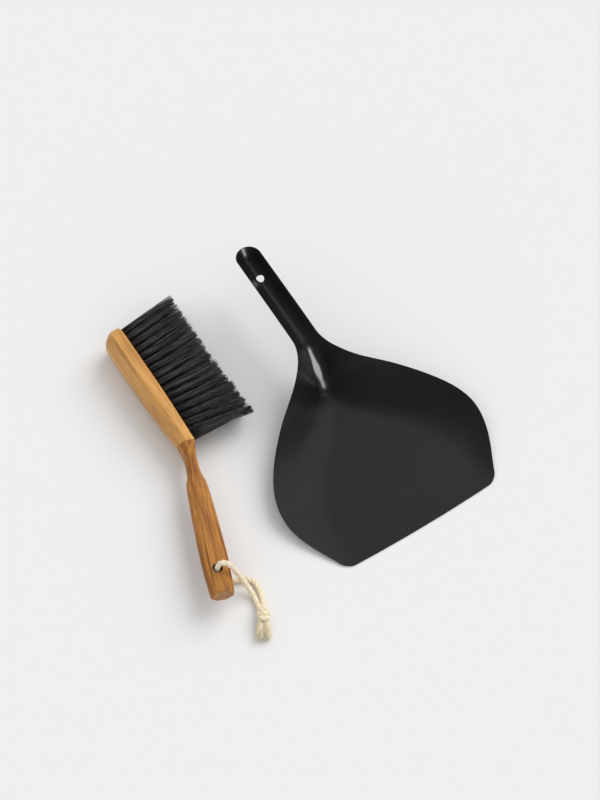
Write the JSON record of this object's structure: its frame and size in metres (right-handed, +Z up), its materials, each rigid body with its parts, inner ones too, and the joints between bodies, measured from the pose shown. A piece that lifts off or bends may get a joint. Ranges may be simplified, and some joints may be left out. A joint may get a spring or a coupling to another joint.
{
  "type": "dust pan and brush set",
  "caption": "Bent sheet-metal dust pan with a channelled handle, and a wooden bench brush with a corded handle lying on its side beside it.",
  "frame": {"origin": "the point under the pan's flat floor, on the plane of symmetry, 60 mm behind the middle of the lip", "axes": "+Y from the lip towards the pan's handle, +X to the pan's right side, away from the brush, +Z up"},
  "size_m": [0.3061, 0.3352, 0.0584],
  "materials": {
    "pan_coating": "satin black powder coat on sheet steel",
    "light_wood": "clear satin varnish on light wood",
    "dark_wood": "satin varnish on darker brown wood",
    "dowel_wood": "plain fluted dowel wood",
    "bristle": "dark charcoal hair, trimmed",
    "anchor_wire": "bright flat wire",
    "cord_cotton": "undyed twisted cotton"
  },
  "bodies": {
    "pan": {"dust_pan": "pan_coating"},
    "brush": {"brush_handle": "dark_wood", "brush_head": "light_wood", "cord_knot": "cord_cotton", "cord_tail_1": "cord_cotton", "cord_tail_2": "cord_cotton", "handle_dowel": "dowel_wood", "hanging_cord": "cord_cotton", "tuft_anchors": "anchor_wire", "tuft_left_01": "bristle", "tuft_left_02": "bristle", "tuft_left_03": "bristle", "tuft_left_04": "bristle", "tuft_left_05": "bristle", "tuft_left_06": "bristle", "tuft_left_07": "bristle", "tuft_left_08": "bristle", "tuft_left_09": "bristle", "tuft_left_10": "bristle", "tuft_left_11": "bristle", "tuft_left_12": "bristle", "tuft_left_13": "bristle", "tuft_left_14": "bristle", "tuft_left_15": "bristle", "tuft_left_16": "bristle", "tuft_middle_01": "bristle", "tuft_middle_02": "bristle", "tuft_middle_03": "bristle", "tuft_middle_04": "bristle", "tuft_middle_05": "bristle", "tuft_middle_06": "bristle", "tuft_middle_07": "bristle", "tuft_middle_08": "bristle", "tuft_middle_09": "bristle", "tuft_middle_10": "bristle", "tuft_middle_11": "bristle", "tuft_middle_12": "bristle", "tuft_middle_13": "bristle", "tuft_middle_14": "bristle", "tuft_middle_15": "bristle", "tuft_middle_16": "bristle", "tuft_right_01": "bristle", "tuft_right_02": "bristle", "tuft_right_03": "bristle", "tuft_right_04": "bristle", "tuft_right_05": "bristle", "tuft_right_06": "bristle", "tuft_right_07": "bristle", "tuft_right_08": "bristle", "tuft_right_09": "bristle", "tuft_right_10": "bristle", "tuft_right_11": "bristle", "tuft_right_12": "bristle", "tuft_right_13": "bristle", "tuft_right_14": "bristle", "tuft_right_15": "bristle", "tuft_right_16": "bristle"}
  },
  "joints": [
    {"name": "brush_lift", "type": "slide", "parent": "pan", "child": "brush", "axis": [0, 0, 1], "range_m": [0, 0.1]}
  ]
}
